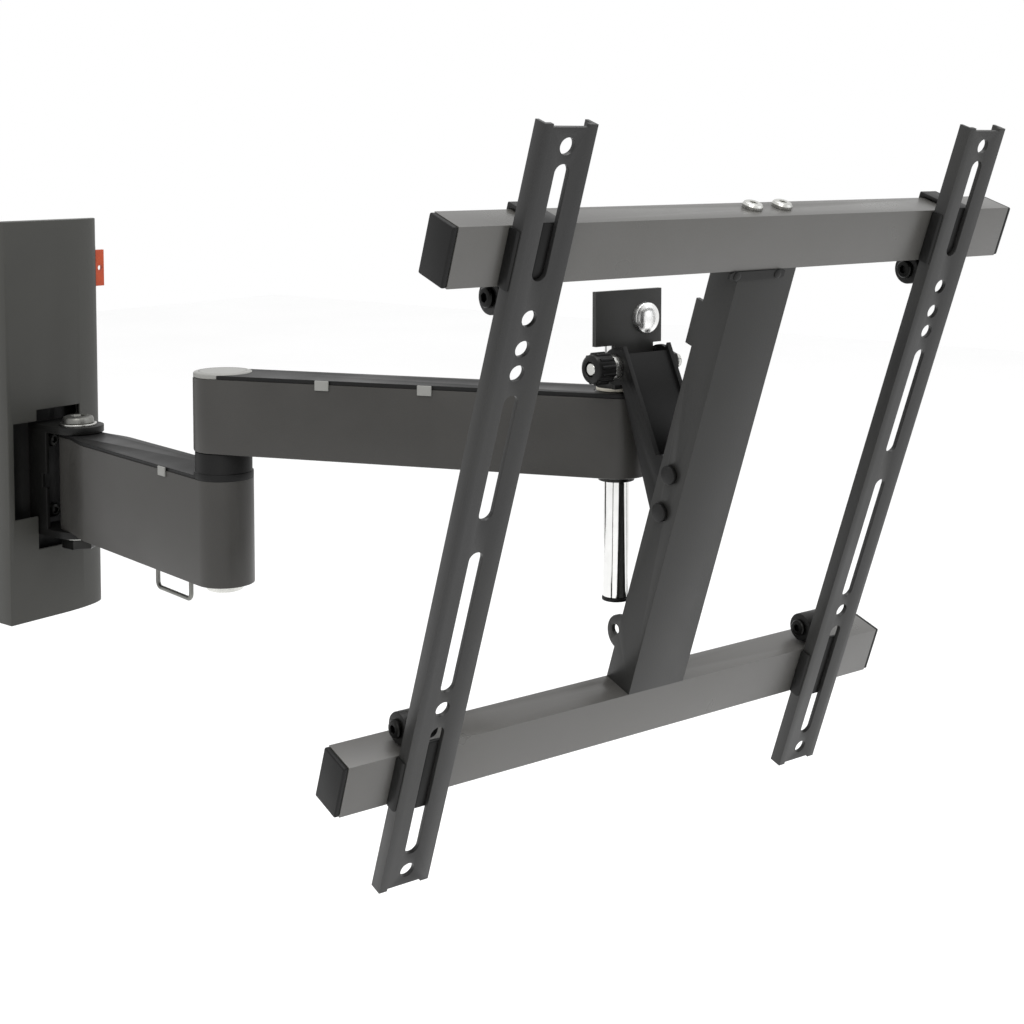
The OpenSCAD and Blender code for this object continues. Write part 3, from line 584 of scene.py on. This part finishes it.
# %% Level
softened("level_insert", 0.4)
vial_mid, vial_size = middle_of("level_vial", IDENTITY)
vial_r, vial_half = vial_size.x / 2, vial_size.z / 2
settle(turned("level_vial_finished",
              [(vial_r * 0.5, -vial_half), (vial_r, 0.6 - vial_half), (vial_r, vial_half - 0.6),
               (vial_r * 0.5, vial_half)], at(IDENTITY, vial_mid), 24),
       "spirit_level", vial_green, ["level_vial"])
lines = []
for offset in (-2.2, 2.2):
    lines.append(turned("line", [(vial_r * 0.9, offset - 0.2), (vial_r + 0.04, offset - 0.2),
                                 (vial_r + 0.04, offset + 0.2), (vial_r * 0.9, offset + 0.2)],
                        at(IDENTITY, vial_mid), 24))
settle(joined("level_vial_lines", lines), "spirit_level", black_abs)

# %% [markdown]
# ## The arms
# Each arm is an aluminium beam with round ends and a smooth coat. A black lid closes the cable
# channel along its top and small grey clips hold it. Each lid has a row of stiffening ribs across
# it. They end just under its top face, so the outside stays smooth.

# %% Arms
arm_coat = grained("powder_coat_charcoal_arms", "#333230", "#383735", 0.40, 0.9, 0.35)
softened("lower_arm_beam", 1.0, 2, material=arm_coat)
softened("upper_arm_beam", 1.0, 2, material=arm_coat)
softened("lower_arm_lid", 0.5)
softened("upper_arm_lid", 0.5)
softened("lower_arm_lid_clips", 0.35, material=clip_abs)
softened("upper_arm_lid_clips", 0.35, material=clip_abs)


RIB_LONG, RIB_R, RIB_DEEP = 22, 0.7, 0.72


def lid_ribs(node, place, body, count, pitch):
    """Ribs across the middle of a lid that end 0.02 mm under its top face."""
    mid, size = middle_of(node, place)
    top = mid.z + size.z / 2
    start = mid.x - (count - 1) * pitch / 2
    ribs = grown(node + "_ribs", rib_tree, {"Count": count, "Pitch": pitch * MM,
                                            "Across": RIB_LONG * MM, "Rod": RIB_R * MM},
                 at(place, (start, 0, top - RIB_DEEP)), black_abs)
    settle(ribs, body, black_abs)
    print(node, "ribs:", count, "at", pitch, "mm")


lid_ribs("lower_arm_lid", to_lower, "lower_arm", 9, 3)
lid_ribs("upper_arm_lid", to_upper, "upper_arm", 13, 3)

# %% Pivots of the arms
softened("lower_arm_bushes", 0.3)
softened("elbow_bushes", 0.3)
softened("post_bushes", 0.3)
softened("elbow_collar", 0.5, material=black_abs)
cap_mid, cap_size = middle_of("elbow_top_cap", to_upper)
cap_low, cap_top = cap_mid.z - cap_size.z / 2, cap_mid.z + cap_size.z / 2
cap_r = cap_size.x / 2
settle(turned("elbow_top_cap_finished",
              [(cap_r - 0.3, cap_low), (cap_r, cap_low + 0.4), (cap_r, cap_top - 0.8),
               (cap_r - 0.5, cap_top - 0.3), (cap_r - 1.6, cap_top), (cap_r - 3, cap_top),
               (cap_r - 3.4, cap_top - 0.4), (cap_r - 3.8, cap_top), (2, cap_top)],
              to_upper, 64), "upper_arm", clip_abs, ["elbow_top_cap"])
foot_mid, foot_size = middle_of("elbow_foot_nut", to_lower)
foot_low, foot_top = foot_mid.z - foot_size.z / 2, foot_mid.z + foot_size.z / 2
settle(turned("elbow_foot_nut_finished",
              [(hexagon(7), foot_low + 2.6), (hexagon(7.4), foot_low), (9.5, foot_low),
               (11.2, foot_low + 0.7), (12, foot_low + 2), (12, foot_top - 0.3), (11.7, foot_top),
               (8.1, foot_top)], at(to_lower, (foot_mid.x, 0, 0))),
       "lower_arm", zinc, ["elbow_foot_nut"])
pin2_mid, pin2_size = middle_of("elbow_pin", to_lower)
settle(turned("elbow_pin_finished",
              [(7, pin2_mid.z - pin2_size.z / 2), (8, pin2_mid.z - pin2_size.z / 2 + 1),
               (8, pin2_mid.z + pin2_size.z / 2 - 1), (7, pin2_mid.z + pin2_size.z / 2)],
              at(to_lower, (pin2_mid.x, 0, 0))), "lower_arm", zinc, ["elbow_pin"])

# %% Cable loop and its saddle
softened("cable_loop_saddle", 0.6)
softened("cable_loop", 0.1, material=zinc_dull)

# %% [markdown]
# ## The head
# A chrome tube turns in the end of the arm. A folded plate with a hub holds the tube, and a
# barrel across the plate is the tilt hinge. The bright domed disc on the plate is the stop that
# the frame's back meets, so it is nickel plated.

# %% Head
post_low, post_high = local_box("swivel_post", to_head)
low_z, high_z = post_low.z / MM, post_high.z / MM
post_r = post_high.x / MM
settle(turned("swivel_post_finished",
              [(post_r - 2, low_z), (post_r - 0.5, low_z), (post_r, low_z + 0.5),
               (post_r, high_z - 0.8), (post_r - 0.8, high_z), (post_r - 1.6, high_z),
               (post_r - 2, high_z - 0.4), (post_r - 2, low_z + 0.2)], to_head, 64, bored=True),
       "head", chrome, ["swivel_post"])
head_coat = grained("powder_coat_dark_grey", "#2b2b2a", "#313130", 0.42, 0.9, 0.35)
softened("head_bracket", 0.6, 2, sharp=35, material=head_coat)
softened("head_thrust_washer", 0.25)
softened("post_retaining_ring", 0.3)
softened("post_end_cap", 0.5)
disc_mid, disc_size = middle_of("stop_disc", to_head)
disc_back = disc_mid.y + disc_size.y / 2
settle(turned("stop_disc_finished",
              [(9, 0), (9, 2.2), (8.7, 2.8), (8, 3.1), (7.2, 3.6), (6, 4.3), (4, 4.8), (1.5, 5)],
              at(to_head, (disc_mid.x, disc_back, disc_mid.z), "-Y"), 64),
       "head", bright, ["stop_disc"])

# %% [markdown]
# ## The tilting frame
# Two square steel tubes and a folded spine make the frame, bolted at the crossings. Tube corners
# are bent, so they are rounder than anything else here: their radius is 2.6 mm. The ends
# are closed with black caps that are pushed in.

# %% Frame
strip_coat = grained("powder_coat_charcoal_strips", "#252525", "#2a2a29", 0.42, 0.9, 0.35)
spine_coat = grained("powder_coat_charcoal_spine", "#232322", "#282827", 0.42, 0.9, 0.35)
softened("top_bar", 2.6, 4, sharp=45, material=coat_bar)
softened("bottom_bar", 2.6, 4, sharp=45, material=coat_bar)
softened("bar_end_caps", 1.4, 3)
softened("spine_channel", 0.9, 2, sharp=35, material=spine_coat)
softened("tilt_bracket", 0.5, 2, sharp=35)
softened("tilt_spacers", 0.3)

# %% [markdown]
# A black moulded strip is riveted across the top of the spine, just under the bar. It is painted
# shade: a dark piece in the gap between the spine and the bar, where shadow falls.

# %% Outlines drawn out to a length
def moulding(name, outline, low_z, high_z, place):
    """A moulded length of one outline, with its two ends drawn in by a small lead-in."""
    cx = sum(x for x, y in outline) / len(outline)
    cy = sum(y for x, y in outline) / len(outline)
    shape = bmesh.new()
    loops = []
    for z, shrink in ((low_z, 0.86), (low_z + 1, 1.0), (high_z - 1, 1.0), (high_z, 0.86)):
        loops.append([shape.verts.new(((cx + (x - cx) * shrink) * MM, (cy + (y - cy) * shrink) * MM,
                                       z * MM)) for x, y in outline])
    count = len(outline)
    for low, high in zip(loops, loops[1:]):
        for k in range(count):
            shape.faces.new((low[k], low[(k + 1) % count], high[(k + 1) % count], high[k]))
    shape.faces.new(list(reversed(loops[0])))
    shape.faces.new(loops[-1])
    bmesh.ops.recalc_face_normals(shape, faces=shape.faces)
    mesh = bpy.data.meshes.new(name)
    shape.to_mesh(mesh)
    shape.free()
    mesh.transform(place)
    piece = bpy.data.objects.new(name, mesh)
    bpy.context.scene.collection.objects.link(piece)
    return piece


# %% Painted shade strip on the spine
bar_mid, bar_size = middle_of("top_bar", to_frame)
spine_mid, spine_size = middle_of("spine_channel", to_frame)
gap_shade_top = bar_mid.z - bar_size.z / 2 - 0.1
half_wide, face_y = 20.8, spine_mid.y - spine_size.y / 2 + 0.05
# A black strip and two rivet heads, painted shade in the shadowed gap under the top bar.
gap_shade = [moulding("gap_shade", [(-half_wide, face_y), (0.6 - half_wide, face_y - 0.9),
                              (half_wide - 0.6, face_y - 0.9), (half_wide, face_y)],
                   gap_shade_top - 5, gap_shade_top, to_frame)]
for x in (-15, 15):
    gap_shade.append(turned("rivet", [(2.6, -0.2), (2.5, 0.3), (1.9, 0.6), (0.9, 0.75)],
                         at(to_frame, (x, face_y - 0.9, gap_shade_top - 2.5), "-Y"), 24))
settle(joined("spine_gap_shade", gap_shade), "tilting_frame", nylon_black)
print("spine face at y:", round(face_y, 2), "mm, edging 5 mm high")

# %% Bolts and nuts of the frame
top_size = middle_of("top_bar", to_frame)[1]
bolt_mid, bolt_size = middle_of("bar_bolts", to_frame)
bolts, nuts = [], []
BOLT_R, HEAD_R = 3, 5.5
bolt_reach = bolt_size.z / 2
for side_x in (-1, 1):
    x = bolt_mid.x + side_x * (bolt_size.x / 2 - HEAD_R)
    for turn in ("Z", "-Z"):
        place = at(to_frame, (x, bolt_mid.y, bolt_mid.z), turn)
        bolts.append(turned("bolt", [(2.4, bolt_reach - 42), (BOLT_R, bolt_reach - 41.4),
                                     (BOLT_R, bolt_reach - 3.4), (5.3, bolt_reach - 3.4),
                                     (HEAD_R, bolt_reach - 3), (HEAD_R, bolt_reach - 1.6),
                                     (4.8, bolt_reach - 0.5), (3.6, bolt_reach),
                                     (hexagon(4.6), bolt_reach), (hexagon(4), bolt_reach - 0.4),
                                     (hexagon(4), bolt_reach - 2.2)], place, 24))
        bolts.append(thread("winding", BOLT_R, 7, at(to_frame, (x, bolt_mid.y, bolt_mid.z), turn)
                            @ Matrix.Translation((0, 0, (bolt_reach - 41.6) * MM)), FINE))
        nut_z = bolt_reach - 3.4 - top_size.z - 2.5
        nuts.append(turned("nut", [(hexagon(9.2), nut_z - 5), (hexagon(10), nut_z - 4.4),
                                   (hexagon(10), nut_z - 0.5), (hexagon(9.4), nut_z), (3.05, nut_z),
                                   (3.05, nut_z - 5)], place, 24, bored=True))
settle(joined("bar_bolts_finished", bolts), "tilting_frame", zinc, ["bar_bolts"])
settle(joined("bar_nuts_finished", nuts), "tilting_frame", oxide, ["bar_nuts"])
softened("brace_bolts", 0.7, 2, material=nylon_black)

# %% Tilt bolt, its nut and the knob
tilt_mid, tilt_size = middle_of("tilt_bolt", to_tilt)
tilt_r = tilt_size.y / 2
half_bolt = tilt_size.x / 2
place = at(to_tilt, tilt_mid, "X")
bolt = turned("bolt", [(tilt_r - 0.8, -half_bolt), (tilt_r, 0.8 - half_bolt),
                       (tilt_r, half_bolt - 0.8), (tilt_r - 0.8, half_bolt)], place)
winding = thread("winding", tilt_r, 11, place @ Matrix.Translation((0, 0, (half_bolt - 11.4) * MM)))
settle(joined("tilt_bolt_finished", [bolt, winding]), "tilting_frame", zinc,
       ["tilt_bolt"])
nut_mid, nut_size = middle_of("tilt_nut", to_tilt)
half_nut = nut_size.x / 2
settle(turned("tilt_nut_finished",
              [(hexagon(12), -half_nut), (hexagon(13), 0.6 - half_nut), (hexagon(13), half_nut - 2),
               (6, half_nut - 1.6), (5.2, half_nut), (tilt_r + 0.05, half_nut),
               (tilt_r + 0.05, -half_nut)], at(to_tilt, nut_mid, "X"), bored=True),
       "tilting_frame", oxide, ["tilt_nut"])
knob_mid, knob_size = middle_of("tilt_knob", to_tilt)
half_knob = knob_size.x / 2
place = at(to_tilt, knob_mid, "-X")
KNOB_R = 8.4
knob = turned("knob", [(KNOB_R - 1.4, -half_knob), (KNOB_R, 1.2 - half_knob),
                       (KNOB_R, half_knob - 2.6), (KNOB_R - 0.5, half_knob - 1.2),
                       (KNOB_R - 1.8, half_knob - 0.3), (KNOB_R - 3, half_knob),
                       (tilt_r + 0.8, half_knob), (tilt_r + 0.3, half_knob - 0.7),
                       (tilt_r + 0.3, -half_knob)], place, bored=True)
grips = grown("grips", ridge_tree, {"Count": 12, "Circle": (KNOB_R - 0.2) * MM,
                                    "Length": (2 * half_knob - 4.4) * MM, "Rod": 1.1 * MM},
              place @ Matrix.Translation((0, 0, -0.7 * MM)), nylon_black)
settle(joined("tilt_knob_finished", [knob, grips]), "knob", nylon_black,
       ["tilt_knob"])

# %% [markdown]
# ## The television strips
# Each strip is a pressed channel with holes and long slots. A steel hook holds each bar from its
# outer edge and a moulded jaw closes on the inner edge with a screw. Both strips are the same, so
# one function finishes either.

# %% Strips
def finish_strip(side_name):
    body = side_name + "_tv_strip"
    softened(side_name + "_strip", 0.6, 2, sharp=35, material=strip_coat)
    softened(side_name + "_hooks", 0.6, 2)
    softened(side_name + "_jaws", 0.9, 2, sharp=35, material=nylon_black)
    mid, size = middle_of(side_name + "_lock_screws", to_frame)
    head_r, length = 5, 20
    x_head = mid.x - size.x / 2
    parts = []
    for side_z in (-1, 1):
        z = mid.z + side_z * (size.z / 2 - head_r)
        place = at(to_frame, (x_head, mid.y, z), "-X")
        parts.append(turned("screw", [(2, -3 - length), (2.5, -2.6 - length), (2.5, -3),
                                      (4.7, -3), (5, -2.7), (5, -1), (4.4, -0.3), (3.4, 0),
                                      (hexagon(4.4), 0), (hexagon(4), -0.4), (hexagon(4), -2)],
                            place, 36))
    settle(joined(side_name + "_lock_screws_finished", parts), body, zinc_dark,
           [side_name + "_lock_screws"])
    mid, size = middle_of(side_name + "_rivets", to_frame)
    rivet_r, row_gap, heads = 3, 8, []
    for side_z in (-1, 1):
        for inner in (0, 1):
            z = mid.z + side_z * (size.z / 2 - rivet_r - inner * row_gap)
            place = at(to_frame, (mid.x, mid.y - size.y / 2, z), "Y")
            heads.append(turned("rivet", [(3, 0), (2.9, 0.5), (2.2, 0.95), (1, 1.2)], place, 24))
    settle(joined(side_name + "_rivets_finished", heads), body, oxide,
           [side_name + "_rivets"])
    print(side_name, "strip: screws", len(parts), "rivets", len(heads))


finish_strip("left")
finish_strip("right")

# %% [markdown]
# At each crossing of a strip and a bar, a black nylon guide hugs the strip's flange, and its outer
# edge has a small lead-in. The guides are painted shade: dark pieces where the flange lies in shadow.

# %% Painted shade guides of the strips
SHADE_GUIDE_OUT, SHADE_GUIDE_SUNK, SHADE_GUIDE_SHORT = 1.5, 0.4, 0.3


def finish_shade_guides(side_name):
    strip_mid, strip_size = middle_of(side_name + "_strip", to_frame)
    half_strip = strip_size.x / 2
    front, back = strip_mid.y - strip_size.y / 2 + 0.8, strip_mid.y + strip_size.y / 2 - 0.1
    shade_guides = []
    for bar_node in ("top_bar", "bottom_bar"):
        bar_mid, bar_size = middle_of(bar_node, to_frame)
        for edge in (-1, 1):
            outer = edge * (half_strip + SHADE_GUIDE_OUT)
            inner = edge * (half_strip - SHADE_GUIDE_SUNK)
            # Each guide is painted shade: a black piece over the strip's flange where the crossing lies in shadow.
            outline = [(inner, back), (outer, back), (outer, front + 1.4),
                       (outer - edge * 0.4, front + 0.5), (outer - edge * 1.1, front),
                       (inner, front)]
            shade_guides.append(moulding("shade_guide", outline, bar_mid.z - bar_size.z / 2 + SHADE_GUIDE_SHORT,
                                   bar_mid.z + bar_size.z / 2 - SHADE_GUIDE_SHORT,
                                   at(to_frame, (strip_mid.x, 0, 0))))
    count = len(shade_guides)
    settle(joined(side_name + "_strip_shade_guides", shade_guides), side_name + "_tv_strip", nylon_black)
    print(side_name, "guides:", count)


finish_shade_guides("left")
finish_shade_guides("right")

# %% [markdown]
# A CAD node that still shows must have a finish too, so each node's own mesh gets the finish of
# its slot as well.

# %% Finish of the nodes themselves
for node, cad in frame["nodes"].items():
    cad.data.materials.clear()
    cad.data.materials.append(SLOT_MATERIAL[node_slot[node]])

bpy.context.scene.view_settings.view_transform = "Standard"
